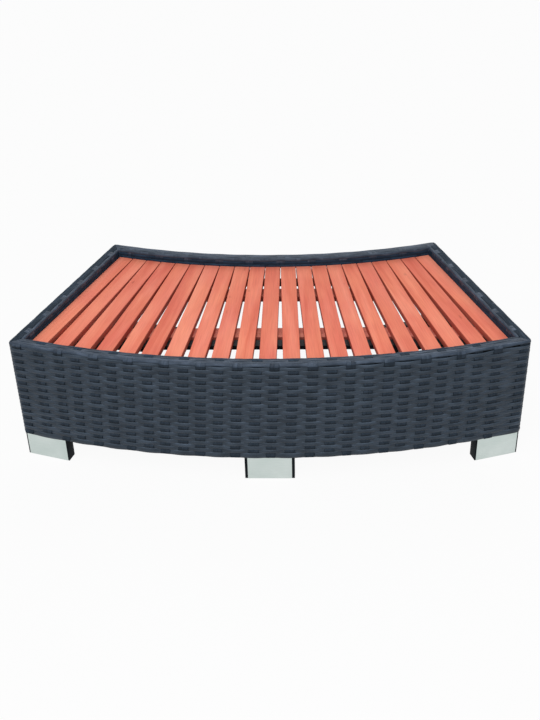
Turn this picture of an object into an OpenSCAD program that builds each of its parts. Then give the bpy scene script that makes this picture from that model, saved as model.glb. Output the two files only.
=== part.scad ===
// Curved spa step: a woven skirt on a square-tube frame, with a fan of wooden slats to tread on.
// Millimetres, +Z up, front towards -Y. The origin is on the floor, under the middle of the box
// round the step. Front and rear are arcs about one centre, and both sides lie on radii of it.

/* [Overall size] */
// Width across the two front corners
front_w = 920; // [840:10:1100]
// Depth from the middle of the front to the rear corners
depth = 450; // [420:10:500]
// Height of the rim above the floor
rim_z = 250; // [220:5:300]
// Angle from the centre line to each side
half_angle = 18; // [15:1:21]

/* [Frame] */
// Side of the square frame tube
tube = 15; // [12:1:18]
// Wall of the frame tube
tube_wall = 1.5; // [1:0.1:2]
// Width of the flat tube of the two deck bars
bar_w = 19; // [15:1:24]
// Height of the deck bars
bar_h = 8; // [7:1:16]
// Wall of the deck bars
bar_wall = 1.5; // [1:0.1:2]
// From the line through the front corners to the front deck bar
front_bar_in = 29.1; // [28:0.1:32]
// From the middle of the rear to the rear deck bar
rear_bar_in = 48.5; // [40:0.1:55]

/* [Woven skirt] */
// Thickness of the woven skin
weave_t = 2.7; // [2:0.1:4]

/* [Deck] */
// Number of slats
slat_count = 21; // [17:2:25]
// Thickness of a slat
slat_t = 12; // [11:0.5:16]
// Gap between the middle slats at their rear ends, where it is least
slat_gap = 0.9; // [0.3:0.1:4]
// Gap between the end of a slat and the rim
end_gap = 1; // [0.5:0.5:6]
// Gap between an outer slat and the side rim
side_gap = 1; // [0.5:0.5:6]
// How far the tops of the slats lie below the rim
deck_drop = 16.5; // [8:0.5:25]
// Width of a batten under the slats
batten_w = 31; // [20:0.5:36]
// Thickness of a batten
batten_t = 12; // [9:0.5:14]
// From the line through the front corners to the front batten
front_batten_in = 58.2; // [56.5:0.1:75]
// From the middle of the rear to the rear batten
rear_batten_in = 89.9; // [80:0.1:100]

/* [Feet] */
// Height of a foot
foot_h = 49; // [35:1:70]
// Width of a corner foot
corner_foot_w = 85; // [84:1:110]
// Width of the front centre foot
centre_foot_w = 90; // [84:1:120]
// Depth of a foot
foot_d = 20; // [18:1:26]
// From the woven face in to a foot
foot_in = 4; // [3:0.5:6]
// From the side of the skirt in to a corner foot
foot_side_in = 1.5; // [0.5:0.5:10]
// Thickness of the metal plate on a foot
plate_t = 1.5; // [1:0.1:2.5]
// Width of the metal plate, which leaves a black margin at each end of the foot
plate_w = 80; // [60:1:82]

/* [Screws] */
// Shank of a slat screw
slat_screw_d = 3.5; // [3:0.5:5]
// Head of a slat screw, across
slat_head_d = 7; // [6:0.5:9]
// Head of a slat screw, along
slat_head_t = 2.5; // [2:0.1:3.5]
// How deep a slat screw goes into its slat
slat_bite = 8; // [5:1:9]
// Shank of a deck or foot screw
bolt_d = 4; // [3:0.5:5]
// Head of a deck or foot screw, across
bolt_head_d = 7.6; // [7:0.1:9]
// Head of a deck or foot screw, along
bolt_head_t = 2.6; // [2:0.1:3.5]
// How deep a deck screw goes into its slat
deck_bite = 8; // [5:1:9]
// How far a foot screw reaches into the bottom rail
foot_bite = 8; // [5:1:9]
// Thickness of the foot over the head of a foot screw
foot_roof = 10; // [6:1:20]
// Distance between the two screws of a foot
foot_screw_pitch = 44; // [38:1:50]
// Clearance round a screw in its hole
screw_clear = 0.2; // [0.1:0.05:0.4]

/* [Hidden] */
$fn = 32;
arc_fn = 720;
// Overshoot of a cut past the face it opens
cut = 0.5;

steel_colour = "#2a2c30";
weave_colour = "#3a4250";
slat_colour = "#e0826a";
batten_colour = "#a05046";
foot_colour = "#17181a";
plate_colour = "#c3cdc8";
screw_colour = "#b8bcc0";

// Plan of the step
outer_r = front_w / 2 / sin(half_angle);
inner_r = (outer_r - depth) / cos(half_angle);
front_y = -depth / 2;
centre_y = front_y + outer_r;
front_corner_y = centre_y - outer_r * cos(half_angle);
rear_y = centre_y - inner_r;
rim_w = tube + 2 * weave_t;
rim_inner_r = outer_r - rim_w;

// Frame: radii, distances in from a side, and heights
front_skin_r = outer_r - weave_t;
front_rail_r = front_skin_r - tube;
rear_rail_r = inner_r + weave_t;
post_inner = weave_t + tube;
front_post_r = sqrt(pow(front_skin_r, 2) - pow(post_inner, 2)) - tube;
centre_post_r = sqrt(pow(front_skin_r, 2) - pow(tube / 2, 2)) - tube;
top_rail_z = rim_z - weave_t - tube;
skin_z = rim_z - weave_t;
rim_low_z = rim_z - rim_w;
post_z = foot_h + tube;

// Deck
slat_z = rim_z - deck_drop - slat_t;
bar_z = slat_z - bar_h;
batten_z = slat_z - batten_t;
front_bar_y = front_corner_y + front_bar_in;
rear_bar_y = rear_y - rear_bar_in - bar_w;
front_batten_y = front_corner_y + front_batten_in;
rear_batten_y = rear_y - rear_batten_in - batten_w;
bar_middles = [front_bar_y + bar_w / 2, rear_bar_y + bar_w / 2];
batten_middles = [front_batten_y + batten_w / 2, rear_batten_y + batten_w / 2];

// The slats fan out from a point on the centre line, so that the outer two lie along the sides.
// Their width follows from how many of them fill the rear of the deck.
slat_front_r = rim_inner_r - end_gap;
slat_rear_r = inner_r + rim_w + end_gap;
slat_step = 2 * half_angle / (slat_count - 1);
half_step = tan(slat_step / 2);
deck_in = rim_w + side_gap;
rear_room = 2 * half_step * (slat_rear_r - deck_in / sin(half_angle));
slat_w = (rear_room - slat_gap) / (1 + half_step / sin(half_angle));
fan_shift = (deck_in + slat_w / 2) / sin(half_angle);
fan_y = centre_y - fan_shift;
// Slats that the deck screws hold to the bars
held_slats = [1, floor(slat_count / 2), slat_count - 2];

// Feet: name, angle, radius of the outer face, width, and the turn that its plate takes
front_foot_r = outer_r - foot_in;
rear_foot_r = inner_r + foot_in;
foot_half = corner_foot_w / 2 + foot_side_in;
front_foot_angle = half_angle - asin(foot_half / front_foot_r);
rear_foot_angle = half_angle - asin(foot_half / rear_foot_r);
faces_front = 0;
faces_rear = 180;
FEET = [
  ["front_left", -front_foot_angle, front_foot_r, corner_foot_w, faces_front],
  ["front_centre", 0, front_foot_r, centre_foot_w, faces_front],
  ["front_right", front_foot_angle, front_foot_r, corner_foot_w, faces_front],
  ["rear_left", -rear_foot_angle, rear_foot_r, corner_foot_w, faces_rear],
  ["rear_right", rear_foot_angle, rear_foot_r, corner_foot_w, faces_rear]
];
// A foot's screws lie halfway between the middle of the foot and the middle of the rail over it
foot_screw_in = (foot_d / 2 + weave_t + tube / 2 - foot_in) / 2;

SIDES = [["left", -1], ["right", 1]];
// Each end of the step: name, corner posts' radius, and the line of its deck bar
ENDS = [["front", front_post_r, bar_middles[0]], ["rear", rear_rail_r, bar_middles[1]]];

// Distance from the fan's point to an arc of the step, at an angle
function fan_reach(r, a) = sqrt(pow(r, 2) - pow(fan_shift * sin(a), 2)) - fan_shift * cos(a);
function slat_angle(i) = -half_angle + i * slat_step;
function slat_name(i) = str("slat_", i < 9 ? "0" : "", i + 1);
function is_held(i) = len([for (h = held_slats) if (h == i) h]) > 0;
// Radius at which a line across the step meets the inner faces of the side posts
function side_r(y) = (centre_y - y - post_inner * sin(half_angle)) / cos(half_angle);

// Children drawn along -Y from the centre of the arcs, turned to an angle
module about_centre(a) translate([0, centre_y, 0]) rotate(a) children();

// Children drawn along -Y from the fan's point, turned to a slat's angle
module along_slat(i) translate([0, fan_y, 0]) rotate(slat_angle(i)) children();

// Children placed on the middle of a slat, where a line across the step crosses it
module on_slat(i, y) along_slat(i) translate([0, (y - fan_y) / cos(slat_angle(i)), 0]) children();

// A profile of radius and height, swept from one side to the other
module sweep() about_centre(-90 - half_angle)
  rotate_extrude(angle = 2 * half_angle, $fn = arc_fn) children();

// All that lies further in than a distance from both sides
module between_sides(inset) {
  reach = 2 * outer_r;
  side = reach * sin(half_angle);
  translate([0, centre_y - inset / sin(half_angle), 0]) linear_extrude(rim_z + cut)
    polygon([[0, 0], [-side, -reach * cos(half_angle)], [side, -reach * cos(half_angle)]]);
}

// Children drawn for the right side: from the centre of the arcs, -X inwards and -Y outwards
module on_side(side) mirror([side < 0 ? 1 : 0, 0, 0]) about_centre(half_angle) children();

// A box along a side, of width w from t inwards, between two radii and two heights
module side_box(t, w, r_low, r_high, z_low, z_high) translate([-t - w, -r_high, z_low])
  cube([w, r_high - r_low, z_high - z_low]);

// A sheet along a side, with ends that follow the arcs
module side_sheet(t, w, r_low, r_high, z_low, z_high) intersection() {
  side_box(t, w, 0, outer_r, z_low, z_high);
  difference() {
    cylinder(r = r_high, h = rim_z + cut, $fn = arc_fn);
    translate([0, 0, -cut]) cylinder(r = r_low, h = rim_z + 3 * cut, $fn = arc_fn);
  }
}

// Section of a tube, with its low corner at the origin
module tube_section(w, h, wall) difference() {
  square([w, h]);
  translate([wall, wall]) square([w - 2 * wall, h - 2 * wall]);
}

// An upright of frame tube, with its low corner at the origin
module upright(h) linear_extrude(h) tube_section(tube, tube, tube_wall);

// A screw that points up, with the underside of its head at the origin
module screw(d, h, head_d, head_t) {
  translate([0, 0, -head_t]) cylinder(d = head_d, h = head_t);
  cylinder(d = d, h = h);
}

// A round hole that points up, with clearance for a screw or its head
module hole(d, h) translate([0, 0, -cut]) cylinder(d = d + 2 * screw_clear, h = h + cut);

// Children drawn for one foot: X along its face, +Y into it, from the middle of the face
module on_foot(f) about_centre(f[1]) translate([0, -f[2], 0]) rotate(f[4]) children();

// Children placed at the two screws of one foot
module at_foot_screws() for (x = [-1, 1] * foot_screw_pitch / 2) translate([x, foot_screw_in, 0]) children();

// A curved rail of frame tube between two corner posts
module curved_rail(r, z) intersection() {
  sweep() translate([r, z]) tube_section(tube, tube, tube_wall);
  between_sides(post_inner);
}

module top_rail_front() color(steel_colour) curved_rail(front_rail_r, top_rail_z);

module top_rail_rear() color(steel_colour) curved_rail(rear_rail_r, top_rail_z);

// A curved bottom rail, drilled for the screws of the feet under it
module drilled_rail(r, facing) color(steel_colour) difference() {
  curved_rail(r, foot_h);
  for (f = FEET) if (f[4] == facing) on_foot(f) at_foot_screws()
    translate([0, 0, foot_h]) hole(bolt_d, tube_wall + cut);
}

module bottom_rail_front() drilled_rail(front_rail_r, faces_front);

module bottom_rail_rear() drilled_rail(rear_rail_r, faces_rear);

// A straight rail of frame tube between the corner posts of one side
module side_rail(side, z) color(steel_colour) on_side(side) difference() {
  side_box(weave_t, tube, rear_rail_r + tube, front_post_r, z, z + tube);
  translate([0, 0, z + tube_wall])
    side_box(weave_t + tube_wall, tube - 2 * tube_wall, rear_rail_r, outer_r, 0, tube - 2 * tube_wall);
}

// A corner post reaches from the foot to the weave over the rim
module corner_post(side, r) color(steel_colour) on_side(side)
  translate([-post_inner, -r - tube, foot_h]) upright(skin_z - foot_h);

module centre_post_front() color(steel_colour)
  translate([-tube / 2, centre_y - centre_post_r - tube, post_z]) upright(top_rail_z - post_z);

// A side post stands between the side rails, where a deck bar meets the side
module side_post(side, y) color(steel_colour) on_side(side)
  translate([-post_inner, -side_r(y) - tube / 2, post_z]) upright(top_rail_z - post_z);

// A deck bar runs straight across, with its ends cut to the slant of the side posts
module deck_bar(y) color(steel_colour) difference() {
  intersection() {
    translate([-front_w / 2, y, bar_z]) rotate([90, 0, 90])
      linear_extrude(front_w) tube_section(bar_w, bar_h, bar_wall);
    between_sides(post_inner);
  }
  for (i = held_slats) on_slat(i, y + bar_w / 2) translate([0, 0, bar_z]) hole(bolt_d, bar_h + cut);
}

// A slat has blind holes in its underside for the screws that hold it
module slat(i) color(slat_colour) difference() {
  front = fan_reach(slat_front_r, slat_angle(i));
  rear = fan_reach(slat_rear_r, slat_angle(i));
  along_slat(i) translate([-slat_w / 2, -front, slat_z]) cube([slat_w, front - rear, slat_t]);
  for (y = batten_middles) on_slat(i, y) translate([0, 0, slat_z]) hole(slat_screw_d, slat_bite + cut);
  if (is_held(i)) for (y = bar_middles) on_slat(i, y) translate([0, 0, slat_z]) hole(bolt_d, deck_bite + cut);
}

// A batten ties the slats together from below
module batten(y) color(batten_colour) difference() {
  intersection() {
    translate([-front_w / 2, y, batten_z]) cube([front_w, batten_w, batten_t]);
    between_sides(deck_in);
  }
  for (i = [0 : slat_count - 1]) on_slat(i, y + batten_w / 2) translate([0, 0, batten_z]) {
    hole(slat_screw_d, batten_t + cut);
    hole(slat_head_d, slat_head_t);
  }
}

module slat_screws() color(screw_colour) {
  for (i = [0 : slat_count - 1], y = batten_middles) on_slat(i, y) translate([0, 0, batten_z + slat_head_t])
    screw(slat_screw_d, batten_t - slat_head_t + slat_bite, slat_head_d, slat_head_t);
}

module deck_screws() color(screw_colour) {
  for (i = held_slats, y = bar_middles) on_slat(i, y) translate([0, 0, bar_z])
    screw(bolt_d, bar_h + deck_bite, bolt_head_d, bolt_head_t);
}

// The woven skin of the front runs up over the top rail and down its inner face
module weave_front() color(weave_colour) {
  sweep() {
    translate([front_skin_r, foot_h]) square([weave_t, rim_z - foot_h]);
    translate([rim_inner_r, skin_z]) square([rim_w, weave_t]);
  }
  intersection() {
    sweep() translate([rim_inner_r, rim_low_z]) square([weave_t, rim_w]);
    between_sides(rim_w);
  }
}

// The woven skin of a side does the same, and turns round the rear corner post
module side_weave(side) color(weave_colour) on_side(side) {
  side_sheet(0, weave_t, inner_r, front_skin_r, foot_h, skin_z);
  side_sheet(0, weave_t, inner_r, rim_inner_r, foot_h, rim_z);
  side_sheet(0, rim_w, inner_r, rim_inner_r, skin_z, rim_z);
  side_sheet(0, rim_w, inner_r, rear_rail_r, foot_h, rim_z);
  side_sheet(post_inner, weave_t, rear_rail_r + tube, rim_inner_r, rim_low_z, rim_z);
  side_sheet(post_inner, weave_t, rear_rail_r + tube, front_rail_r, rim_low_z, skin_z);
}

// The rear is open, and only its top rail is wrapped
module weave_rear_rim() color(weave_colour) intersection() {
  sweep() translate([inner_r, rim_low_z]) tube_section(rim_w, rim_w, weave_t);
  between_sides(rim_w);
}

// A foot is a black block with a rebate for its plate, and two holes for screws from below
module foot(f) color(foot_colour) on_foot(f) difference() {
  translate([-f[3] / 2, 0, 0]) cube([f[3], foot_d, foot_h]);
  translate([-plate_w / 2, -cut, -cut]) cube([plate_w, plate_t + cut, foot_h + 2 * cut]);
  at_foot_screws() {
    hole(bolt_d, foot_h + cut);
    hole(bolt_head_d, foot_h - foot_roof);
  }
}

module foot_plate(f) color(plate_colour) on_foot(f)
  translate([-plate_w / 2, 0, 0]) cube([plate_w, plate_t, foot_h]);

module foot_screws() color(screw_colour) {
  for (f = FEET) on_foot(f) at_foot_screws() translate([0, 0, foot_h - foot_roof])
    screw(bolt_d, foot_roof + foot_bite, bolt_head_d, bolt_head_t);
}

top_rail_front();
top_rail_rear();
bottom_rail_front();
bottom_rail_rear();
centre_post_front();
for (s = SIDES) side_rail(s[1], top_rail_z);
for (s = SIDES) side_rail(s[1], foot_h);
for (e = ENDS, s = SIDES) {
  corner_post(s[1], e[1]);
  side_post(s[1], e[2]);
}
deck_bar(front_bar_y);  // deck_bar_front
deck_bar(rear_bar_y);  // deck_bar_rear
for (i = [0 : slat_count - 1]) slat(i);
batten(front_batten_y);  // batten_front
batten(rear_batten_y);  // batten_rear
slat_screws();
deck_screws();
weave_front();
for (s = SIDES) side_weave(s[1]);
weave_rear_rim();
for (f = FEET) {
  foot(f);
  foot_plate(f);
}
foot_screws();
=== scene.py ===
import math
import random
from collections import namedtuple

import bmesh
import bpy
import numpy as np
from mathutils import Matrix, Vector


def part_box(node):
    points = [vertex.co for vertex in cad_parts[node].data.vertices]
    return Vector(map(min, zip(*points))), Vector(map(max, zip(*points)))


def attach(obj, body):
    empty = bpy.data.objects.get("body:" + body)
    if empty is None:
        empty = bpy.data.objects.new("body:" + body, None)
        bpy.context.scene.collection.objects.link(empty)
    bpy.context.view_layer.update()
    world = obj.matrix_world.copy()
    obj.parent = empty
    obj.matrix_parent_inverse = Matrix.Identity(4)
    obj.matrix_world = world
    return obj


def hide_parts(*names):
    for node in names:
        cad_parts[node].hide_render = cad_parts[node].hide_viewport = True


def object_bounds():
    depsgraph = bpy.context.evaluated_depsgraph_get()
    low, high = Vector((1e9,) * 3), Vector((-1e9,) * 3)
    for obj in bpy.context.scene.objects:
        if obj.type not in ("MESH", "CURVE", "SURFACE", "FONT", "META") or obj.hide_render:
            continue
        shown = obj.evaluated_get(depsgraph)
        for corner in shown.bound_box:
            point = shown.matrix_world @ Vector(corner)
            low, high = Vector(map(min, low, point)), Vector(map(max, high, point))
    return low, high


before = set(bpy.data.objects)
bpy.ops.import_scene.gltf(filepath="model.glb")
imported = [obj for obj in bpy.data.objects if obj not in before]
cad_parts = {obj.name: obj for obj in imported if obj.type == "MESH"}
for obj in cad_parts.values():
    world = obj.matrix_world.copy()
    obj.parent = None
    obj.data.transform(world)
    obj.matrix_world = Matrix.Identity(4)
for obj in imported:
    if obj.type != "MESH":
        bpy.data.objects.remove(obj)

# Curved spa step: strands woven over a frame, a fan of wooden slats, and feet with metal plates.
# Metres, +Z up, front towards -Y. Front and rear are arcs about one centre, sides are radii of it.

cad_low, cad_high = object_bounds()
BODY = "root"
MM = 0.001

# Plan of the step
HALF_ANGLE = math.radians(18)
FRONT_W = cad_high.x - cad_low.x
DEPTH = cad_high.y - cad_low.y
RIM_Z = cad_high.z
SKIRT_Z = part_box("weave_front")[0].z
OUTER_R = FRONT_W / 2 / math.sin(HALF_ANGLE)
INNER_R = (OUTER_R - DEPTH) / math.cos(HALF_ANGLE)
CENTRE = np.array([0.0, cad_low.y + OUTER_R])

# Woven skin: its thickness, the tube that it is woven over, and its bends
SKIN_T = 2.7 * MM
TUBE = 15 * MM
RIM_W = TUBE + 2 * SKIN_T
RIM_LOW_Z = RIM_Z - RIM_W
SKIN_IN = 0.2 * MM
EDGE_R = 2.5 * MM
CORNER_R = 5.5 * MM
REAR_CORNER_R = 3 * MM
LEAST_CORNER_R = 1 * MM
CORNER_STEPS = 4
# Way up from the hem to where the rim turns over
RIM_TURN = RIM_Z - SKIRT_Z - SKIN_IN - EDGE_R
# Wrap of the side rows round a rear corner post: across its rear face, and a tail on its inner face
POST_STEPS = 6
POST_TAIL = TUBE * 0.7
POST_TAIL_STEPS = 3
# A stretch of the skin's way: its length, the inset, height and turn at its start, and its curvature
Stretch = namedtuple("Stretch", "length inset z turn curve")

# Rows of the weave, from the hem up the face, over the rim and down its inner face
ROW_PITCH = 7.65 * MM
FACE_ROWS = 25
EDGE_ROW = FACE_ROWS - 1
BEND_ROW = FACE_ROWS
LAST_TOP_ROW = FACE_ROWS + 2
HEM_RISE = 8.5 * MM
HEM_STRAND_W = 12.8 * MM
HEM_STRAND_RISE = 6.9 * MM
STRAND_T = 1.7 * MM
FACE_STRAND_W = 10.4 * MM
EDGE_STRAND_W = 8.8 * MM
BEND_STRAND_W = 8.2 * MM
TOP_STRAND_W = 6.6 * MM
TOP_IN = [7 * MM, 12.4 * MM]
INNER_STRAND_W = 8.3 * MM
# Insets of the rows under the rear rim
UNDER_IN = [SKIN_IN + RIM_W * 0.25, RIM_W * 0.75 - SKIN_IN]
# A row: its way along the profile, its width, how far it goes in and out, whether it is in front of
# the first stake (1) or behind it (-1), and its shade
Row = namedtuple("Row", "way width wave first shade")

# How far the rows go in and out, how square their waves are, how much narrower they are where they go
# under a stake, and how far from a corner they lie flat
WAVE = 1.05 * MM
RIM_WAVE = 0.5 * MM
INNER_WAVE = 0.35 * MM
EDGE_WAVE_SHARE = 0.45
WAVE_SQUARE = 0.5
UNDER_SHARE = 0.15
FLAT_CORNER = 7 * MM
STEPS_PER_STAKE = 12

# Unevenness of hand weaving: swell of the wave, slow and fast wander up and down, width of a row
SWELL = 0.08
SWELL_LENGTH = 46 * MM
SLOW_WANDER = 0.18 * MM
SLOW_LENGTH = 38 * MM
FAST_WANDER = 0.13 * MM
FAST_LENGTH = 15 * MM
HEM_WANDER = 0.3
LEAST_ROW_WIDTH = 0.97
WEAVE_SEED = 7

# Stakes, each a pair of strands
FRONT_STAKES = 28
SIDE_STAKES = 13
REAR_STAKES = 22
END_STAKE = 14.3 * MM
FRONT_END_STAKE = 16.3 * MM
STAKE_STRAND_W = 8.8 * MM
STAKE_T = 0.9 * MM
STAKE_BULGE = 1.6 * MM
STAKE_SIDE = 4.0 * MM
STAKE_JITTER = 0.05
STAKE_SPREAD = (0.9, 1.05)
STAKE_STATIONS = 130
REAR_STAKE_STATIONS = 40
# How far above the hem's edge stakes start, and how far below the top they are painted as light as the rim
HEM_TUCK = 3 * MM
RIM_BAND = 6 * MM
# Height at which a leaning stake is at its place
LEAN_Z = 150 * MM
# Gaps between the first and the last stakes of the front, from each corner in, as shares of the others
FRONT_LOW_GAPS = [1.26, 1.145, 1.04, 1.01, 1.01]
FRONT_HIGH_GAPS = [1.535, 1.12, 1.02, 0.99, 0.99]
# How far the stakes of the front lean, at shares of the way along it
FRONT_LEAN_AT = [0.0, 0.15, 0.5, 0.6, 1.0]
FRONT_LEAN = [0.02, 0.06, 0.06, 0.025, 0.01]
# How far the stakes of the front are moved along it, at shares of the way
FRONT_MOVE_AT = [0.25, 0.39, 0.465, 0.545, 0.62, 0.7, 0.8, 0.86, 0.95]
FRONT_MOVE = [0.0, -1.6 * MM, -5 * MM, -3.3 * MM, -2 * MM, -1 * MM, 0.0, 1.6 * MM, 0.0]
# How much the rows of the front fall along it, at rows from the hem up
FALL_ROWS = [0, 2, EDGE_ROW]
FRONT_FALL = [-0.0015, 0.0012, 0.0062]

# Section of a strand: across and out, as shares of its width and thickness
STRAND_SECTION = [
    (-0.5, -0.3), (-0.37, 0.22), (0.0, 0.5), (0.37, 0.22), (0.5, -0.3), (0.3, -0.5), (-0.3, -0.5),
]
BENT_SECTION = [
    (-0.5, -0.1), (-0.44, 0.36), (-0.25, 0.48), (-0.1, 0.5), (0.1, 0.5), (0.25, 0.48), (0.44, 0.36),
    (0.5, -0.1), (0.3, -0.5), (0.0, -0.5), (-0.3, -0.5),
]
STAKE_SECTION = [(-0.5, 0.0), (-0.42, 0.5), (0.42, 0.5), (0.5, 0.0), (0.0, -0.5)]

# Shades of strands, in the order of each piece's materials: lit and shaded copies of one rattan, painted
# lighter or darker for where a strand lies
ROW_SHADES = ["weft", "inner", "rim", "side_rim"]
STAKE_SHADES = ["stake", "rim", "inner"]
# Painted highlight and painted shade on a strand: how much lighter it is painted at the upper or inner edge
# of what shows of it, and how much darker at the other edge
WEFT_PAINTED_EDGES = (1.6, 0.8)
STAKE_PAINTED_EDGES = (1.35, 0.4)
RIM_PAINTED_EDGES = (1.25, 0.6)
SIDE_RIM_PAINTED_EDGES = (1.3, 0.7)
PLAIN_EDGES = (1.0, 1.0)

# Deck
SLAT_EASE = 1.2 * MM
BATTEN_EASE = 0.8 * MM
EASE_SEGMENTS = 3
SHARP_ANGLE = math.radians(50)
DECK_SEED = 11

# Feet, and the parts of each: start of the node's name, ease of its edges, material and slot
FEET = ["front_left", "front_centre", "front_right", "rear_left", "rear_right"]
FOOT_PARTS = [
    ("foot_", 0.8 * MM, "foot", "foot_black"),
    ("foot_plate_", 0.5 * MM, "plate", "foot_silver"),
]
PLATE_PROUD = 0.3 * MM

# Start of a CAD node's name and its material; the first that fits is taken
NODE_MATERIALS = [
    ("top_rail", "steel"), ("bottom_rail", "steel"), ("corner_post", "steel"), ("side_post", "steel"),
    ("centre_post", "steel"), ("deck_bar", "steel"), ("foot_plate", "plate"), ("foot_screws", "screw"),
    ("foot_", "foot"), ("slat_screws", "screw"), ("deck_screws", "screw"), ("slat_", "slat"),
    ("batten", "batten"), ("weave", "weft"),
]

# How far apart the textures of two pieces can start
GRAIN_SPREAD = 40.0
# Scales of textures along and across a strand, and from strand to strand
STRAND_LINES = (30.0, 1800.0, 1.0)
STRAND_PATCHES = (28.0, 60.0, 1.0)
# Scales of textures across, along and through a piece of wood
WOOD_FIGURE = (34.0, 2.6, 34.0)
WOOD_PORES = (900.0, 22.0, 900.0)
WOOD_CLOUDS = (20.0, 9.0, 20.0)
WOOD_SPOTS = (70.0, 24.0, 70.0)
# Tints of the wood: in its clouds, and painted shade on the sides and underside of a piece, tinted red as
# by light bounced between slats
CLOUD_LOW = (0.95, 0.87, 0.93, 1.0)
CLOUD_HIGH = (1.03, 1.1, 1.08, 1.0)
BELOW_PAINTED_SHADE = (0.62, 0.46, 0.48, 1.0)
WOOD_ROUGHNESS = 0.6
WOOD_SHINE = 0.05
# Scales of the uneven colour of paint and of metal
PAINT_CLOUDS = 14.0
METAL_CLOUDS = 18.0

# Floor and light
FLOOR_Z = -0.2 * MM
FLOOR_HALF = 40.0
FLOOR_GREY = 0.6
FLOOR_ROUGHNESS = 0.9
FLOOR_SHINE = 0.1
FLOOR_GLOW = 0.94
AMBIENT_COLOUR = (0.94, 0.97, 1.0, 1.0)
AMBIENT_STRENGTH = 0.4
SUN_ANGLE = math.radians(45)
KEY_SUN_FROM = (-0.3, -0.42, 1.0)
KEY_SUN_STRENGTH = 1.2
BACK_SUN_FROM = (0.15, 0.9, 0.8)
BACK_SUN_STRENGTH = 0.65
LAMP_AT = (0.0, -1.4, 1.3)
LAMP_SIZE = 1.2
LAMP_POWER = 10.5

# Camera, fitted to the photograph: image, focal length and principal point in its pixels, angles in radians
IMAGE_W, IMAGE_H = 540, 720
FOCAL_PX = 925.5
MIDDLE_U, MIDDLE_V = 280.1, 253.8
CAMERA_AT = (0.0647, -1.5116, 1.1434)
CAMERA_PITCH = 0.4868
CAMERA_YAW = 0.0297
CAMERA_ROLL = -0.0203


# Materials

def linear(red, green, blue):
    """An 8-bit screen colour as the linear colour that a shader takes."""
    def channel(value):
        share = value / 255
        return share / 12.92 if share <= 0.04045 else ((share + 0.055) / 1.055) ** 2.4
    return (channel(red), channel(green), channel(blue), 1.0)


def grey(value):
    """A grey as a shader takes it."""
    return (value, value, value, 1.0)


class Nodes:
    """A material with one principled shader, and short ways to add nodes to it."""

    def __init__(self, name):
        self.material = bpy.data.materials.new(name)
        self.material.use_nodes = True
        self.tree = self.material.node_tree
        self.shader = self.tree.nodes["Principled BSDF"]

    def add(self, kind, **values):
        node = self.tree.nodes.new(kind)
        for key, value in values.items():
            setattr(node, key, value)
        return node

    def link(self, out, into):
        self.tree.links.new(out, into)

    def attribute(self, name):
        return self.add("ShaderNodeAttribute", attribute_name=name)

    def stretched(self, vector, scale):
        node = self.add("ShaderNodeMapping")
        node.inputs["Scale"].default_value = scale
        self.link(vector, node.inputs["Vector"])
        return node.outputs["Vector"]

    def noise(self, vector, scale=1.0, detail=3.0, roughness=0.55, distortion=0.0):
        node = self.add("ShaderNodeTexNoise")
        node.inputs["Scale"].default_value = scale
        node.inputs["Detail"].default_value = detail
        node.inputs["Roughness"].default_value = roughness
        node.inputs["Distortion"].default_value = distortion
        self.link(vector, node.inputs["Vector"])
        return node.outputs["Fac"]

    def ramp(self, factor, *stops):
        node = self.add("ShaderNodeValToRGB")
        elements = node.color_ramp.elements
        while len(elements) < len(stops):
            elements.new(0.5)
        for element, (place, colour) in zip(elements, stops):
            element.position = place
            element.color = colour
        self.link(factor, node.inputs["Fac"])
        return node.outputs["Color"]

    def two_tones(self, factor, low, high):
        """One colour where a texture is low, running to another where it is high."""
        return self.ramp(factor, (0.3, low), (0.7, high))

    def three_tones(self, factor, dark, middle, light):
        """Dark, middle and light colours over the range of a texture."""
        return self.ramp(factor, (0.3, dark), (0.5, middle), (0.72, light))

    def times(self, first, second):
        """One colour multiplied by another."""
        node = self.add("ShaderNodeMix", data_type="RGBA", blend_type="MULTIPLY")
        node.inputs[0].default_value = 1.0
        self.link(first, node.inputs[6])
        self.link(second, node.inputs[7])
        return node.outputs[2]

    def spread(self, factor, middle, reach):
        """A factor of 0 to 1 spread to a reach on both sides of a value."""
        node = self.add("ShaderNodeMapRange")
        node.inputs["To Min"].default_value = middle - reach
        node.inputs["To Max"].default_value = middle + reach
        self.link(factor, node.inputs["Value"])
        return node.outputs["Result"]

    def colour(self, colour):
        self.link(colour, self.shader.inputs["Base Color"])

    def roughness(self, roughness):
        self.link(roughness, self.shader.inputs["Roughness"])

    def shine(self, shine):
        self.shader.inputs["Specular IOR Level"].default_value = shine

    def bump(self, height, strength, distance):
        node = self.add("ShaderNodeBump")
        node.inputs["Strength"].default_value = strength
        node.inputs["Distance"].default_value = distance
        self.link(height, node.inputs["Height"])
        self.link(node.outputs["Normal"], self.shader.inputs["Normal"])


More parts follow.
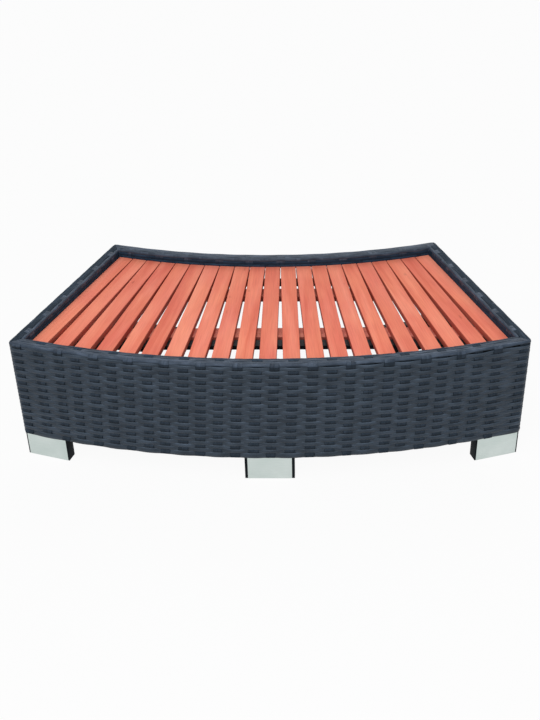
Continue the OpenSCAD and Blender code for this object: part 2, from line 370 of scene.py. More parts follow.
def rattan_material(name, dark, middle, light, roughness, shine, edges):
    """Extruded plastic strand: fine lines along it, a tone of its own, a painted highlight along one edge
    and painted shade along the other.
    """
    nodes = Nodes(name)
    along = nodes.attribute("strand").outputs["Vector"]
    lines = nodes.noise(nodes.stretched(along, STRAND_LINES), detail=4.0, roughness=0.6)
    patches = nodes.noise(nodes.stretched(along, STRAND_PATCHES), detail=2.0)
    tone = nodes.three_tones(patches, dark, middle, light)
    island = nodes.add("ShaderNodeNewGeometry").outputs["Random Per Island"]
    tone = nodes.times(tone, nodes.ramp(island, (0.0, grey(0.86)), (1.0, grey(1.1))))
    # Painted highlight and painted shade at the edges of what shows of the strand, from a mask that runs
    # from the highlighted edge to the shaded edge
    painted_shade_share = nodes.attribute("painted_shade_share").outputs["Fac"]
    highlight_factor, shade_factor = edges
    painted_edge_stops = [(0.0, grey(highlight_factor)), (0.25, grey(1.0)), (0.75, grey(1.0)), (1.0, grey(shade_factor))]
    tone = nodes.times(tone, nodes.ramp(painted_shade_share, *painted_edge_stops))
    nodes.colour(nodes.times(tone, nodes.two_tones(lines, grey(0.82), grey(1.12))))
    nodes.roughness(nodes.spread(lines, roughness, reach=0.1))
    nodes.shine(shine)
    nodes.bump(lines, strength=0.25, distance=0.4 * MM)
    return nodes.material


def wood_material(name, dark, middle, light, tone_low, tone_high):
    """Oiled tropical wood: long figure, fine pores, a tone of its own for each piece, and painted shade on
    its sides and underside.
    """
    nodes = Nodes(name)
    place = nodes.attribute("grain").outputs["Vector"]
    figure = nodes.noise(nodes.stretched(place, WOOD_FIGURE), roughness=0.5, distortion=1.2)
    pores = nodes.noise(nodes.stretched(place, WOOD_PORES), roughness=0.6)
    clouds = nodes.noise(nodes.stretched(place, WOOD_CLOUDS), detail=2.0)
    spots = nodes.noise(nodes.stretched(place, WOOD_SPOTS), detail=1.0)
    tone = nodes.attribute("tone").outputs["Fac"]
    below = nodes.attribute("below").outputs["Fac"]
    colour = nodes.three_tones(figure, dark, middle, light)
    colour = nodes.times(colour, nodes.ramp(clouds, (0.32, CLOUD_LOW), (0.68, CLOUD_HIGH)))
    colour = nodes.times(colour, nodes.ramp(pores, (0.3, grey(0.9)), (0.62, grey(1.04))))
    colour = nodes.times(colour, nodes.ramp(tone, (0.0, tone_low), (1.0, tone_high)))
    colour = nodes.times(colour, nodes.ramp(spots, (0.2, grey(0.72)), (0.27, grey(1.0))))
    # Painted shade on the sides and underside of the piece
    colour = nodes.times(colour, nodes.ramp(below, (0.0, grey(1.0)), (1.0, BELOW_PAINTED_SHADE)))
    nodes.colour(colour)
    nodes.roughness(nodes.spread(pores, WOOD_ROUGHNESS, reach=0.1))
    nodes.shine(WOOD_SHINE)
    nodes.bump(pores, strength=0.2, distance=0.4 * MM)
    return nodes.material


def coated_material(name, low, high, roughness, shine, fineness):
    """Paint or moulded plastic: a fine pebbled skin over a slightly uneven colour."""
    nodes = Nodes(name)
    place = nodes.add("ShaderNodeTexCoord").outputs["Object"]
    pebbles = nodes.noise(place, fineness, detail=2.0)
    clouds = nodes.noise(place, PAINT_CLOUDS)
    nodes.colour(nodes.two_tones(clouds, low, high))
    nodes.roughness(nodes.spread(pebbles, roughness, reach=0.08))
    nodes.shine(shine)
    nodes.bump(pebbles, strength=0.15, distance=0.3 * MM)
    return nodes.material


def metal_material(name, low, high, roughness, stretch):
    """Brushed metal: fine lines along one direction."""
    nodes = Nodes(name)
    place = nodes.add("ShaderNodeTexCoord").outputs["Object"]
    lines = nodes.noise(nodes.stretched(place, stretch))
    clouds = nodes.noise(place, METAL_CLOUDS, detail=2.0)
    fine = nodes.two_tones(lines, grey(0.94), grey(1.03))
    nodes.colour(nodes.times(nodes.two_tones(clouds, low, high), fine))
    nodes.roughness(nodes.spread(lines, roughness, reach=0.06))
    nodes.shader.inputs["Metallic"].default_value = 1.0
    nodes.bump(lines, strength=0.08, distance=0.2 * MM)
    return nodes.material


def make_materials():
    """Every material of the step, with colours as they show on the screen."""
    return {
        "weft": rattan_material(
            "rattan_weft", linear(39, 48, 58), linear(50, 60, 71), linear(61, 72, 85),
            roughness=0.42, shine=0.2, edges=WEFT_PAINTED_EDGES),
        # Rim: the weft's rattan painted lighter and bluer, a painted sheen on the rim
        "rim": rattan_material(
            "rattan_rim_painted_sheen", linear(42, 52, 65), linear(57, 68, 82), linear(80, 92, 109),
            roughness=0.45, shine=0.15, edges=RIM_PAINTED_EDGES),
        # Side rim: the weft's rattan painted darker, painted shade on the side rims
        "side_rim": rattan_material(
            "rattan_side_rim_painted_shade", linear(32, 41, 50), linear(43, 53, 64), linear(57, 68, 81),
            roughness=0.6, shine=0.05, edges=SIDE_RIM_PAINTED_EDGES),
        # Inner face: the weft's rattan painted darker and less red, painted shade on the rim's inner face
        "inner": rattan_material(
            "rattan_inner_painted_shade", linear(27, 43, 58), linear(34, 52, 69), linear(43, 63, 82),
            roughness=0.55, shine=0.08, edges=PLAIN_EDGES),
        # Stake: the weft's rattan painted darker, painted shade on the stakes between the rows
        "stake": rattan_material(
            "rattan_stake_painted_shade", linear(32, 41, 50), linear(38, 47, 57), linear(45, 54, 65),
            roughness=0.62, shine=0.1, edges=STAKE_PAINTED_EDGES),
        "slat": wood_material(
            "slat_wood", linear(221, 118, 94), linear(231, 131, 106), linear(239, 145, 120),
            tone_low=(0.95, 0.92, 0.94, 1.0), tone_high=(1.03, 1.07, 1.04, 1.0)),
        "batten": wood_material(
            "batten_wood", linear(193, 112, 96), linear(205, 123, 106), linear(217, 137, 119),
            tone_low=grey(0.92), tone_high=grey(1.0)),
        "steel": coated_material(
            "frame_paint", linear(20, 23, 26), linear(30, 33, 37),
            roughness=0.45, shine=0.1, fineness=900.0),
        "foot": coated_material(
            "foot_plastic", linear(15, 19, 22), linear(24, 29, 33),
            roughness=0.6, shine=0.05, fineness=1100.0),
        "plate": metal_material(
            "foot_silver", linear(192, 204, 200), linear(206, 215, 212),
            roughness=0.36, stretch=(60.0, 60.0, 2600.0)),
        "screw": metal_material(
            "screw_steel", linear(150, 154, 158), linear(176, 180, 184),
            roughness=0.3, stretch=(900.0, 900.0, 900.0)),
    }


# Pieces

def make_piece(name, mesh, materials, nodes=()):
    """An object that rides on the step, and stands for the CAD nodes that it is given."""
    for material in materials:
        mesh.materials.append(material)
    piece = bpy.data.objects.new(name, mesh)
    bpy.context.collection.objects.link(piece)
    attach(piece, BODY)
    if nodes:
        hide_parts(*nodes)


def smooth(share):
    """A share, held between 0 and 1 and eased at both ends."""
    share = np.clip(share, 0.0, 1.0)
    return share * share * (3 - 2 * share)


def plan_turn(angle):
    """Outward direction, in plan, of the front arc at an angle from the centre line."""
    return np.stack([np.sin(angle), -np.cos(angle)], axis=-1)


# Weave

class Edge:
    """One edge of the step in plan: a line that runs at a distance in from its outer face."""

    def __init__(self, stakes, rng):
        self.stakes = stakes
        self.rng = rng
        self.falls = [0.0] * len(FALL_ROWS)
        # What is left of the waves of the two rows along the rim's outer edge
        self.edge_wave_share = EDGE_WAVE_SHARE
        self.rim_shade = "rim"
        # How far in from the outer face the stakes on the rim are painted as light as the rim
        self.painted_light_reach = RIM_W
        # Radii in plan of the corners at its low and its high end
        self.corner_radii = (REAR_CORNER_R, REAR_CORNER_R)

    def lay_stakes(self, end=END_STAKE, low_gaps=(), high_gaps=()):
        """Places of the stakes along the edge, a little uneven as hand weaving is."""
        low, high = self.ends(0.0)
        plain = self.stakes - 1 - len(low_gaps) - len(high_gaps)
        gaps = np.array(list(low_gaps) + [1.0] * plain + list(reversed(high_gaps)))
        self.pitch = (high - low - 2 * end) / gaps.sum()
        jitter = [self.rng.uniform(-STAKE_JITTER, STAKE_JITTER) * self.pitch for _ in range(self.stakes)]
        self.places = low + end + np.concatenate([[0.0], np.cumsum(gaps)]) * self.pitch + jitter
        self.leans = np.zeros(self.stakes)

    def move(self, shares, moves):
        """Move the stakes along the edge by amounts that change along it."""
        low, high = self.ends(0.0)
        self.places = self.places + np.interp((self.places - low) / (high - low), shares, moves)

    def lean(self, shares, leans):
        """Let the stakes lean by a slope that changes along the edge."""
        low, high = self.ends(0.0)
        self.leans = np.interp((self.places - low) / (high - low), shares, leans)

    def places_at(self, z):
        """Places of the stakes at a height."""
        return self.places + self.leans * (z - LEAN_Z)

    def phase(self, x, z):
        """Number of stakes up to a place on the edge."""
        places = self.places_at(z)
        ends = np.concatenate([[places[0] - self.pitch], places, [places[-1] + self.pitch]])
        return np.interp(x, ends, np.arange(-1, self.stakes + 1) + 0.5)

    def own_row(self, index, row):
        """A row with this edge's own wave along the rim's outer edge, and its own shade on the rim."""
        if index in (EDGE_ROW, BEND_ROW):
            row = row._replace(wave=row.wave * self.edge_wave_share)
        if BEND_ROW <= index <= LAST_TOP_ROW:
            row = row._replace(shade=self.rim_shade)
        return row

    def fall(self, x, index):
        """How far a row of the face lies below its level at a place on the edge."""
        return np.interp(index, FALL_ROWS, self.falls) * x


class ArcEdge(Edge):
    """The front edge (facing 1) or the rear edge (facing -1), measured along its outer face."""

    def __init__(self, radius, facing, stakes, rng):
        super().__init__(stakes, rng)
        self.radius = radius
        self.facing = facing

    def ends(self, inset):
        """Low and high end of the edge at an inset."""
        angle = HALF_ANGLE - math.asin(inset / (self.radius - self.facing * inset))
        return -angle * self.radius, angle * self.radius

    def at(self, x, inset):
        """Point, direction along the edge and outward direction, in plan."""
        out = plan_turn(x / self.radius)
        point = CENTRE + out * (self.radius - self.facing * inset)
        along = np.stack([-out[..., 1], out[..., 0]], axis=-1)
        return point, along, out * self.facing


class SideEdge(Edge):
    """The left edge (side -1) or the right edge (side 1), measured from the centre of the arcs."""

    def __init__(self, side, stakes, rng):
        super().__init__(stakes, rng)
        self.line = np.array([side * math.sin(HALF_ANGLE), -math.cos(HALF_ANGLE)])
        self.out = np.array([side * math.cos(HALF_ANGLE), math.sin(HALF_ANGLE)])
        self.rim_shade = "side_rim"
        self.corner_radii = (REAR_CORNER_R, CORNER_R)

    def ends(self, inset):
        """Low and high end of the edge at an inset: the rear one and the front one."""
        rear = math.sqrt((INNER_R + inset) ** 2 - inset ** 2)
        front = math.sqrt((OUTER_R - inset) ** 2 - inset ** 2)
        return rear, front

    def at(self, x, inset):
        """Point, direction along the edge and outward direction, in plan."""
        x = np.asarray(x)[..., None]
        point = CENTRE + self.line * x - self.out * inset
        return point, np.broadcast_to(self.line, point.shape), np.broadcast_to(self.out, point.shape)


class Profile:
    """The way of the skin up the outer face, over the rim and down its inner face."""

    def __init__(self, low_z):
        face = RIM_Z - SKIN_IN - EDGE_R
        inner = RIM_W - SKIN_IN
        top = RIM_Z - SKIN_IN
        bend = EDGE_R * math.pi / 2
        self.stretches = [
            Stretch(face - low_z, SKIN_IN, low_z, 0.0, 0.0),
            Stretch(bend, SKIN_IN, face, 0.0, 1 / EDGE_R),
            Stretch(inner - SKIN_IN - 2 * EDGE_R, SKIN_IN + EDGE_R, top, math.pi / 2, 0.0),
            Stretch(bend, inner - EDGE_R, top, math.pi / 2, 1 / EDGE_R),
            Stretch(face - RIM_LOW_Z, inner, face, math.pi, 0.0),
        ]
        self.length = sum(stretch.length for stretch in self.stretches)
        rim = face - low_z
        top_start = rim + bend - SKIN_IN - EDGE_R
        inner_bend = self.length - self.stretches[-1].length - bend / 2
        widths = [HEM_STRAND_W] + [FACE_STRAND_W] * (FACE_ROWS - 2) + [EDGE_STRAND_W]
        ways = [HEM_STRAND_RISE] + [HEM_RISE + index * ROW_PITCH for index in range(1, FACE_ROWS)]
        self.rows = [
            Row(ways[index], widths[index], WAVE, -(-1) ** index, "weft") for index in range(FACE_ROWS)
        ]
        self.rows += [
            Row(rim + bend / 2, BEND_STRAND_W, RIM_WAVE, -1, "rim"),
            Row(top_start + TOP_IN[0], TOP_STRAND_W, 0.0, 1, "rim"),
            Row(top_start + TOP_IN[1], TOP_STRAND_W, RIM_WAVE, 1, "rim"),
            Row(inner_bend, BEND_STRAND_W, INNER_WAVE, -1, "rim"),
            Row(inner_bend + ROW_PITCH, INNER_STRAND_W, INNER_WAVE, 1, "inner"),
            Row(inner_bend + 2 * ROW_PITCH, INNER_STRAND_W, INNER_WAVE, -1, "inner"),
        ]

    def section(self, way, width):
        """Section of a strand that lies along the profile: across and out, in metres."""
        inset, z, turn = self.at(way)
        bent = 0.0 < turn < math.pi
        points = []
        for share, rise in BENT_SECTION if bent else STRAND_SECTION:
            point_inset, point_z, point_turn = self.at(way + share * width)
            in_by, up_by = point_inset - inset, point_z - z
            across = in_by * math.sin(turn) + up_by * math.cos(turn)
            out = up_by * math.sin(turn) - in_by * math.cos(turn)
            tip = point_turn - turn
            lift = rise * STRAND_T
            points.append((across + lift * math.sin(tip), out + lift * math.cos(tip)))
        return np.array(points)

    def at(self, way):
        """Inset, height and turn of the outward direction at a way along the profile."""
        for stretch in self.stretches:
            if way <= stretch.length or stretch is self.stretches[-1]:
                break
            way -= stretch.length
        _, inset, z, turn, curve = stretch
        if curve:
            end = turn + way * curve
            inset += (math.cos(turn) - math.cos(end)) / curve
            z += (math.sin(end) - math.sin(turn)) / curve
            return inset, z, end
        return inset + math.sin(turn) * way, z + math.cos(turn) * way, turn


def out_and_across(out, turn):
    """Directions out of the skin and across a strand, from the plan direction and the profile's turn."""
    shape = out.shape[:-1]
    flat = np.concatenate([out, np.zeros(shape + (1,))], axis=-1)
    up = np.zeros(shape + (3,))
    up[..., 2] = 1.0
    turn = np.asarray(turn)[..., None]
    return flat * np.cos(turn) + up * np.sin(turn), up * np.cos(turn) - flat * np.sin(turn)


class Strands:
    """Collects strands into a mesh."""

    def __init__(self):
        self.points = []
        self.ways = []
        self.painted_shade_shares = []
        self.faces = []
        self.shades = []
        self.count = 0

    def add(self, centre, out, across, section, stretch, offset, shade, painted_shade_share):
        """One strand of a section along a row of centres, stretched in width, closed at both ends.

        The painted shade share says, from 0 to 1, how near a point is to the edge of what shows of the
        strand that is painted in shade, away from the edge painted with a highlight.
        """
        steps, sides = len(centre), len(section)
        stretch = np.broadcast_to(stretch, steps)[:, None]
        reach = section[None, :, 0, None] * across[:, None, :] * stretch[:, :, None]
        rise = section[None, :, 1, None] * out[:, None, :]
        self.points.append((centre[:, None, :] + reach + rise).reshape(-1, 3))
        run = np.concatenate([[0.0], np.cumsum(np.linalg.norm(np.diff(centre, axis=0), axis=1))])
        way = np.zeros((steps, sides, 3))
        way[..., 0] = run[:, None] + offset
        way[..., 1] = section[None, :, 0] * stretch
        way[..., 2] = offset
        self.ways.append(way.reshape(-1, 3))
        self.painted_shade_shares.append(np.broadcast_to(painted_shade_share, (steps, sides)).ravel())
        first = self.count
        for i in range(steps - 1):
            for j in range(sides):
                a = first + i * sides + j
                b = first + i * sides + (j + 1) % sides
                self.faces.append((b, a, a + sides, b + sides))
        last = first + (steps - 1) * sides
        self.faces.append(tuple(first + j for j in range(sides)))
        self.faces.append(tuple(last + j for j in reversed(range(sides))))
        self.count += steps * sides
        shade = np.broadcast_to(shade, steps)
        self.shades += np.repeat(shade[:-1], sides).tolist() + [int(shade[0]), int(shade[-1])]

    def mesh(self, name):
        mesh = bpy.data.meshes.new(name)
        mesh.from_pydata(np.concatenate(self.points).tolist(), [], self.faces)
        mesh.polygons.foreach_set("use_smooth", [True] * len(mesh.polygons))
        mesh.polygons.foreach_set("material_index", self.shades)
        way = mesh.attributes.new("strand", "FLOAT_VECTOR", "POINT")
        way.data.foreach_set("vector", np.concatenate(self.ways).ravel())
        # Mask for the painted highlight and painted shade on the strands' edges
        painted_shade_share = mesh.attributes.new("painted_shade_share", "FLOAT", "POINT")
        painted_shade_share.data.foreach_set("value", np.concatenate(self.painted_shade_shares))
        mesh.update()
        return mesh


def corner_arc(point, along, out, radius, reach, steps):
    """Points and outward directions where an edge turns a corner, from its end onwards."""
    turn = np.linspace(0.0, reach, steps + 1)[1:, None]
    points = point + along * radius * np.sin(turn) - out * radius * (1 - np.cos(turn))
    return points, out * np.cos(turn) + along * np.sin(turn)


def post_wrap(point, along, out):
    """The rest of a strand's way round a rear corner post: across its rear face, onto its inner face."""
    face = RIM_W - SKIN_IN - REAR_CORNER_R - LEAST_CORNER_R
    across = point + along * np.linspace(0.0, face, POST_STEPS + 1)[1:, None]
    turn, turn_out = corner_arc(across[-1], along, out, LEAST_CORNER_R, math.pi / 2, CORNER_STEPS)
    tail = turn[-1] - out * np.linspace(0.0, POST_TAIL, POST_TAIL_STEPS + 1)[1:, None]
    points = np.concatenate([across, turn, tail])
    outs = [np.broadcast_to(out, across.shape), turn_out, np.broadcast_to(along, tail.shape)]
    return points, np.concatenate(outs)


def row_plan(edge, inset, wrap):
    """Places along a row, its points in plan, its outward directions and how far each is from a corner.

    The row turns halfway round each corner, or where wrap is given, right round the post at its low end.
    """
    low_r, high_r = (max(radius - inset, LEAST_CORNER_R) for radius in edge.corner_radii)
    low, high = edge.ends(inset)
    x = np.linspace(low + low_r, high - high_r, edge.stakes * STEPS_PER_STAKE + 1)
    points, along, out = edge.at(x, inset)
    far, far_out = corner_arc(points[-1], along[-1], out[-1], high_r, math.pi / 4, CORNER_STEPS)
    share = 2 if wrap else 1
    near, near_out = corner_arc(
        points[0], -along[0], out[0], low_r, share * math.pi / 4, share * CORNER_STEPS)
    if wrap:
        face, face_out = post_wrap(near[-1], -out[0], near_out[-1])
        near = np.concatenate([near, face])
        near_out = np.concatenate([near_out, face_out])
    places = np.concatenate([np.full(len(near), low), x, np.full(len(far), high)])
    points = np.concatenate([near[::-1], points, far])
    outs = np.concatenate([near_out[::-1], out, far_out])
    reach = np.minimum(places - low, high - places)
    return places, points, outs, reach


def weave_row(strands, edge, index, row, place, section, wrap=False):
    """One strand of the weft, over and under the stakes in turn."""
    rng = edge.rng
    inset, z, turn = place
    places, points, outs, reach = row_plan(edge, inset, wrap)
    wave = np.tanh(WAVE_SQUARE * np.sin(math.pi * edge.phase(places, z))) / math.tanh(WAVE_SQUARE)
    open_share = smooth((reach - LEAST_CORNER_R) / FLAT_CORNER)
    height = row.wave * row.first * wave * open_share
    height *= 1 + SWELL * np.sin(places / SWELL_LENGTH + rng.uniform(0, math.tau))
    height += (SKIN_IN - STRAND_T / 2) * (1 - open_share)
    wander = SLOW_WANDER * np.sin(places / SLOW_LENGTH + rng.uniform(0, math.tau))
    wander += FAST_WANDER * np.sin(places / FAST_LENGTH + rng.uniform(0, math.tau))
    under_share = UNDER_SHARE
    # The hem, and the first row under the rear rim, lie straighter than the others
    if index == 0:
        wander *= HEM_WANDER
        under_share *= HEM_WANDER
    wander *= smooth(reach / FLAT_CORNER)
    if turn == 0.0:
        wander = wander - edge.fall(places, index)
    out, across = out_and_across(outs, np.full(len(outs), turn))
    centre = np.concatenate([points, np.full((len(points), 1), z)], axis=1)
    centre = centre + out * height[:, None] + across * wander[:, None]
    stretch = rng.uniform(LEAST_ROW_WIDTH, 1.0) * (1 - under_share * row.first * wave * open_share)
    # Painted highlight along the row's upper or inner edge, painted shade along its other edge
    painted_shade_share = 0.5 - section[:, 0] / np.ptp(section[:, 0])
    shade = ROW_SHADES.index(row.shade)
    strands.add(centre, out, across, section, stretch, rng.uniform(0, GRAIN_SPREAD), shade, painted_shade_share)


def stake_bow(edge, index, ways, profile):
    """How far a stake stands out along the profile, bowed out where a row goes behind it, and its painted
    shade share: painted shade where it faces down, painted highlight where it faces up.
    """
    rows = [edge.own_row(*item) for item in enumerate(profile.rows)]
    row_ways = np.array([row.way for row in rows]) - edge.fall(edge.places[index], np.arange(len(rows)))
    bows = [-row.first * row.wave / WAVE * (-1) ** index for row in rows]
    bow = STAKE_BULGE * np.interp(ways, row_ways, bows)
    # Painted shade where the stake faces down, painted highlight where it faces up
    slope = np.gradient(bow, ways) * ROW_PITCH / (2 * STAKE_BULGE)
    return bow, np.clip(0.5 + 0.5 * slope, 0.0, 1.0)[:, None]


def stake_shade(edge, insets, heights):
    """Shades along a stake: painted as light as the rim at the top, painted in shade on the face and the
    inner face.
    """
    on_rim = (heights > RIM_Z - RIM_BAND) & (insets < edge.painted_light_reach)
    inside = insets > RIM_W / 2
    below = np.where(inside, STAKE_SHADES.index("inner"), STAKE_SHADES.index("stake"))
    return np.where(on_rim, STAKE_SHADES.index("rim"), below)


def lay_stake(strands, edge, index, ways, profile):
    """One stake, a pair of strands side by side along the profile."""
    rng = edge.rng
    spread = rng.uniform(*STAKE_SPREAD)
    section = np.array(STAKE_SECTION) * (STAKE_STRAND_W * spread, STAKE_T)
    insets, heights, turns = (np.array(values) for values in zip(*[profile.at(way) for way in ways]))
    places = np.array([edge.places_at(z)[index] for z in heights])
    bow, painted_shade_share = stake_bow(edge, index, ways, profile)
    shade = stake_shade(edge, insets, heights)
    for side in (-1, 1):
        x = places + side * STAKE_SIDE * spread
        rows = [edge.at(x[i], insets[i]) for i in range(len(ways))]
        points, along, outs = (np.array(values) for values in zip(*rows))
        out, _ = out_and_across(outs, turns)
        centre = np.concatenate([points, heights[:, None]], axis=1) + out * bow[:, None]
        across = np.concatenate([along, np.zeros((len(along), 1))], axis=1)
        strands.add(centre, out, across, section, 1.0, rng.uniform(0, GRAIN_SPREAD), shade, painted_shade_share)


def weave(name, edge, indices, stake_ways, profile, node, materials, wrap_below=None, under=()):
    """The rows and stakes of one edge, as two pieces."""
    weft = Strands()
    for index in indices:
        row = profile.rows[index]
        place = profile.at(row.way)
        section = profile.section(row.way, row.width)
        wrap = wrap_below is not None and place[1] < wrap_below and place[2] == 0.0
        weave_row(weft, edge, index, edge.own_row(index, row), place, section, wrap)
    flat = np.array(STRAND_SECTION) * (FACE_STRAND_W, STRAND_T)
    for index, inset in enumerate(under):
        row = Row(None, FACE_STRAND_W, RIM_WAVE, (-1) ** index, "weft")
        weave_row(weft, edge, index, row, (inset, RIM_LOW_Z + SKIN_IN, -math.pi / 2), flat)
    shades = [materials[shade] for shade in ROW_SHADES]
    make_piece("woven_" + name, weft.mesh("woven_" + name), shades, [node])
    stakes = Strands()
    low, high = edge.ends(0.0)
    clear = RIM_W + STAKE_SIDE + STAKE_STRAND_W / 2
    for index, place in enumerate(edge.places):
        # Near a corner, a stake that starts at the hem ends where the rim turns over
        near_corner = min(place - low, high - place) < clear
        ways = [way for way in stake_ways if not near_corner or way < stake_ways[0] + RIM_TURN]
        lay_stake(stakes, edge, index, ways, profile)
    shades = [materials[shade] for shade in STAKE_SHADES]
    make_piece("stakes_" + name, stakes.mesh("stakes_" + name), shades)


def make_front_edge(rng):
    """The front edge, with its stakes and rows placed as the photograph shows them."""
    front = ArcEdge(OUTER_R, 1, FRONT_STAKES, rng)
    front.lay_stakes(FRONT_END_STAKE, FRONT_LOW_GAPS, FRONT_HIGH_GAPS)
    front.move(FRONT_MOVE_AT, FRONT_MOVE)
    front.lean(FRONT_LEAN_AT, FRONT_LEAN)
    front.falls = FRONT_FALL
    front.edge_wave_share = 1.0
    front.painted_light_reach = TOP_IN[0]
    front.corner_radii = (CORNER_R, CORNER_R)
    return front


def make_weave(materials):
    """The woven skin of the front, the sides and the rear rim."""
    rng = random.Random(WEAVE_SEED)
    profile = Profile(SKIRT_Z)
    ways = np.linspace(HEM_TUCK, profile.length, STAKE_STATIONS)
    every_row = range(len(profile.rows))
    weave("front", make_front_edge(rng), every_row, ways, profile, "weave_front", materials)
    for name, side in (("left", -1), ("right", 1)):
        edge = SideEdge(side, SIDE_STAKES, rng)
        edge.lay_stakes()
        weave(name, edge, every_row, ways, profile, "weave_" + name, materials, wrap_below=RIM_LOW_Z)
    rear = ArcEdge(INNER_R, -1, REAR_STAKES, rng)
    rear.lay_stakes()
    rim_rows = [index for index in every_row if profile.at(profile.rows[index].way)[1] > RIM_LOW_Z - SKIN_T]
    rim_ways = np.linspace(RIM_LOW_Z - SKIRT_Z, profile.length, REAR_STAKE_STATIONS)
    weave("rear_rim", rear, rim_rows, rim_ways, profile, "weave_rear_rim", materials, under=UNDER_IN)


# Deck and feet

def eased_box(name, size, ease):
    """A box with rounded edges, standing on the origin in the middle of its base."""
    work = bmesh.new()
    bmesh.ops.create_cube(work, size=1.0)
    bmesh.ops.scale(work, vec=Vector(size), verts=work.verts)
    bmesh.ops.translate(work, vec=Vector((0, 0, size[2] / 2)), verts=work.verts)
    bmesh.ops.bevel(
        work, geom=work.edges[:], offset=ease, segments=EASE_SEGMENTS, profile=0.5, affect="EDGES")
    mesh = bpy.data.meshes.new(name)
    work.to_mesh(mesh)
    work.free()
    mesh.polygons.foreach_set("use_smooth", [True] * len(mesh.polygons))
    mesh.set_sharp_from_angle(angle=SHARP_ANGLE)
    return mesh


def turned_size(node, angle):
    """Size of a box that is turned by an angle about Z, from its CAD box."""
    low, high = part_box(node)
    size = high - low
    across, along = math.cos(angle), math.sin(abs(angle))
    spread = across ** 2 - along ** 2
    width = (size.x * across - size.y * along) / spread
    length = (size.y * across - size.x * along) / spread
    return Vector((width, length, size.z))


def node_base(node):
    """The middle of the base of a node's CAD box."""
    low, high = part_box(node)
    return Vector(((low.x + high.x) / 2, (low.y + high.y) / 2, low.z))


def place_mesh(mesh, base, angle):
    """Turn a mesh about Z and stand it on a point."""
    mesh.transform(Matrix.Translation(base) @ Matrix.Rotation(angle, 4, "Z"))


def give_grain(mesh, rng, ease):
    """Solid wood coordinates, a tone for one piece of wood, and a mark for all that lies below its top,
    where painted shade goes.
    """
    offset = np.array([rng.uniform(0, GRAIN_SPREAD) for _ in range(3)])
    tone = rng.random()
    places = np.zeros(len(mesh.vertices) * 3)
    mesh.vertices.foreach_get("co", places)
    places = places.reshape(-1, 3)
    grain = mesh.attributes.new("grain", "FLOAT_VECTOR", "POINT")
    grain.data.foreach_set("vector", (places + offset).ravel())
    below = mesh.attributes.new("below", "FLOAT", "POINT")
    below.data.foreach_set("value", smooth((places[:, 2].max() - places[:, 2]) / ease))
    shade = mesh.attributes.new("tone", "FLOAT", "POINT")
    shade.data.foreach_set("value", [tone] * len(mesh.vertices))


def make_slat(index, count, rng, materials):
    """One slat of the fan, from left to right."""
    node = "slat_%02d" % (index + 1)
    angle = -HALF_ANGLE + 2 * HALF_ANGLE * index / (count - 1)
    name = "deck_" + node
    mesh = eased_box(name, turned_size(node, angle), SLAT_EASE)
    give_grain(mesh, rng, SLAT_EASE)
    place_mesh(mesh, node_base(node), angle)
    make_piece(name, mesh, [materials["slat"]], [node])


def make_batten(node, rng, materials):
    """A batten across the step, with its ends on the slant of the sides."""
    low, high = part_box(node)
    size = high - low
    name = "deck_" + node
    mesh = eased_box(name, (size.y, size.x, size.z), BATTEN_EASE)
    give_grain(mesh, rng, BATTEN_EASE)
    place_mesh(mesh, node_base(node), math.pi / 2)
    half = size.x / 2
    for vertex in mesh.vertices:
        slant = (vertex.co.y - low.y) * math.tan(HALF_ANGLE)
        vertex.co.x *= (half - slant) / half
    make_piece(name, mesh, [materials["batten"]], [node])


def make_deck(materials):
    """The fan of slats and the two battens under it."""
    rng = random.Random(DECK_SEED)
    count = sum(name.removeprefix("slat_").isdigit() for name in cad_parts)
    for index in range(count):
        make_slat(index, count, rng, materials)
    for end in ("front", "rear"):
        make_batten("batten_" + end, rng, materials)


def make_feet(materials):
    """Black blocks with eased edges, each with a metal plate that stands a little proud of it."""
    for corner in FEET:
        for kind, ease, material, slot in FOOT_PARTS:
            node = kind + corner
            base = node_base(node)
            angle = math.atan2(base.x, CENTRE[1] - base.y)
            name = "eased_" + node
            mesh = eased_box(name, turned_size(node, angle), ease)
            place_mesh(mesh, base, angle)
            if kind == "foot_plate_":
                outward = 1 if corner.startswith("front") else -1
                turn = plan_turn(np.array(angle)) * outward * PLATE_PROUD
                mesh.transform(Matrix.Translation((turn[0], turn[1], 0)))
            make_piece(name, mesh, [materials[material]], [node])


def dress_nodes(materials):
    """Materials for the CAD nodes."""
    for name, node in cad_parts.items():
        kind = next(material for start, material in NODE_MATERIALS if name.startswith(start))
        node.data.materials.clear()
        node.data.materials.append(materials[kind])


# Floor, light and camera

def seen_directly(tree, share):
    """A share for the rays by which the camera sees a surface, itself or in metal or glass."""
    path = tree.nodes.new("ShaderNodeLightPath")
    first = tree.nodes.new("ShaderNodeMath")
    first.operation = "MAXIMUM"
    tree.links.new(path.outputs["Is Camera Ray"], first.inputs[0])
    tree.links.new(path.outputs["Is Glossy Ray"], first.inputs[1])
    second = tree.nodes.new("ShaderNodeMath")
    second.operation = "MAXIMUM"
    tree.links.new(first.outputs[0], second.inputs[0])
    tree.links.new(path.outputs["Is Transmission Ray"], second.inputs[1])
    scale = tree.nodes.new("ShaderNodeMath")
    scale.operation = "MULTIPLY"
    scale.inputs[1].default_value = share
    tree.links.new(second.outputs[0], scale.inputs[0])
    return scale.outputs[0]


def mix_seen(tree, share, lit, seen, end):
    """One shader for what the camera sees directly, by a share, and another for all other rays."""
    mix = tree.nodes.new("ShaderNodeMixShader")
    tree.links.new(seen_directly(tree, share), mix.inputs[0])
    tree.links.new(lit.outputs[0], mix.inputs[1])
    tree.links.new(seen.outputs[0], mix.inputs[2])
    tree.links.new(mix.outputs[0], tree.nodes[end].inputs["Surface"])


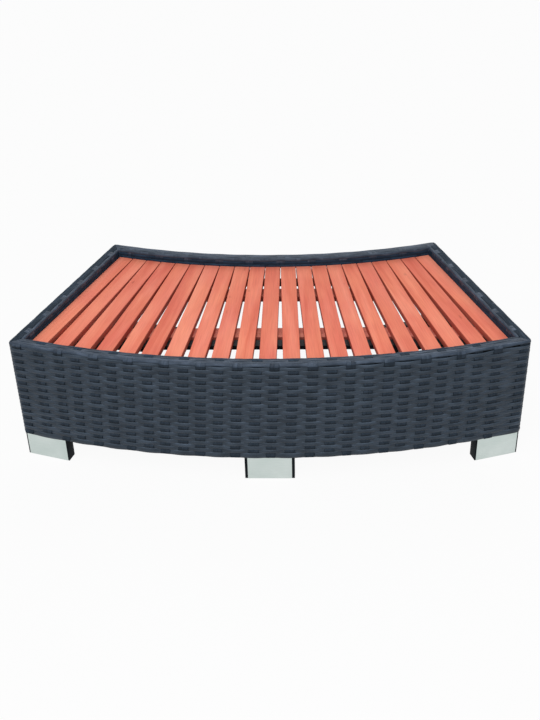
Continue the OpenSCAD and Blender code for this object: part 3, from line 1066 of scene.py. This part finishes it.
def make_floor():
    """A white floor that keeps a soft shadow."""
    mesh = bpy.data.meshes.new("floor")
    corners = [(-1, -1), (1, -1), (1, 1), (-1, 1)]
    points = [(x * FLOOR_HALF, y * FLOOR_HALF, FLOOR_Z) for x, y in corners]
    mesh.from_pydata(points, [], [(0, 1, 2, 3)])
    floor = bpy.data.objects.new("floor", mesh)
    bpy.context.collection.objects.link(floor)
    material = bpy.data.materials.new("floor_white")
    material.use_nodes = True
    tree = material.node_tree
    shader = tree.nodes["Principled BSDF"]
    shader.inputs["Base Color"].default_value = grey(FLOOR_GREY)
    shader.inputs["Roughness"].default_value = FLOOR_ROUGHNESS
    shader.inputs["Specular IOR Level"].default_value = FLOOR_SHINE
    glow = tree.nodes.new("ShaderNodeEmission")
    glow.inputs["Strength"].default_value = 1.0
    mix_seen(tree, FLOOR_GLOW, shader, glow, "Material Output")
    mesh.materials.append(material)


def make_world():
    """Surroundings that look white and shine softly."""
    world = bpy.data.worlds.new("studio")
    bpy.context.scene.world = world
    world.use_nodes = True
    tree = world.node_tree
    seen = tree.nodes.new("ShaderNodeBackground")
    seen.inputs["Strength"].default_value = 1.0
    seen.inputs["Color"].default_value = grey(1.0)
    ambient = tree.nodes["Background"]
    ambient.inputs["Color"].default_value = AMBIENT_COLOUR
    ambient.inputs["Strength"].default_value = AMBIENT_STRENGTH
    mix_seen(tree, 1.0, ambient, seen, "World Output")


def add_sun(name, source, strength):
    """A wide, soft sun that shines from a direction."""
    lamp = bpy.data.lights.new(name, "SUN")
    lamp.angle = SUN_ANGLE
    lamp.energy = strength
    holder = bpy.data.objects.new(name, lamp)
    bpy.context.collection.objects.link(holder)
    holder.matrix_world = Vector(source).to_track_quat("Z", "Y").to_matrix().to_4x4()


def add_lamp(name, place, size, power):
    """A round lamp that shines on the step from a place."""
    lamp = bpy.data.lights.new(name, "AREA")
    lamp.shape = "DISK"
    lamp.size = size
    lamp.energy = power
    holder = bpy.data.objects.new(name, lamp)
    bpy.context.collection.objects.link(holder)
    aim = Vector((0, 0, RIM_Z)) - Vector(place)
    holder.matrix_world = Matrix.Translation(place) @ aim.to_track_quat("-Z", "Y").to_matrix().to_4x4()


def make_stage():
    """The floor and surroundings, lit by two wide suns and a round lamp in front."""
    make_floor()
    make_world()
    add_sun("key", KEY_SUN_FROM, KEY_SUN_STRENGTH)
    add_sun("back", BACK_SUN_FROM, BACK_SUN_STRENGTH)
    add_lamp("front", LAMP_AT, LAMP_SIZE, LAMP_POWER)
    bpy.context.scene.view_settings.view_transform = "Standard"


def make_camera():
    """The photograph's viewpoint: before the step, looking down on it."""
    camera = bpy.data.cameras.new("camera")
    camera.sensor_fit = "AUTO"
    camera.lens = FOCAL_PX * camera.sensor_width / IMAGE_H
    camera.shift_x = (IMAGE_W / 2 - MIDDLE_U) / IMAGE_H
    camera.shift_y = (MIDDLE_V - IMAGE_H / 2) / IMAGE_H
    holder = bpy.data.objects.new("camera", camera)
    bpy.context.collection.objects.link(holder)
    turn = Matrix.Rotation(CAMERA_YAW, 4, "Z") @ Matrix.Rotation(math.pi / 2 - CAMERA_PITCH, 4, "X")
    holder.matrix_world = Matrix.Translation(CAMERA_AT) @ turn @ Matrix.Rotation(CAMERA_ROLL, 4, "Z")
    bpy.context.scene.camera = holder


def main():
    """The whole scene: the step, what it stands on, the light and the camera."""
    materials = make_materials()
    make_weave(materials)
    make_deck(materials)
    make_feet(materials)
    dress_nodes(materials)
    make_stage()
    make_camera()


main()
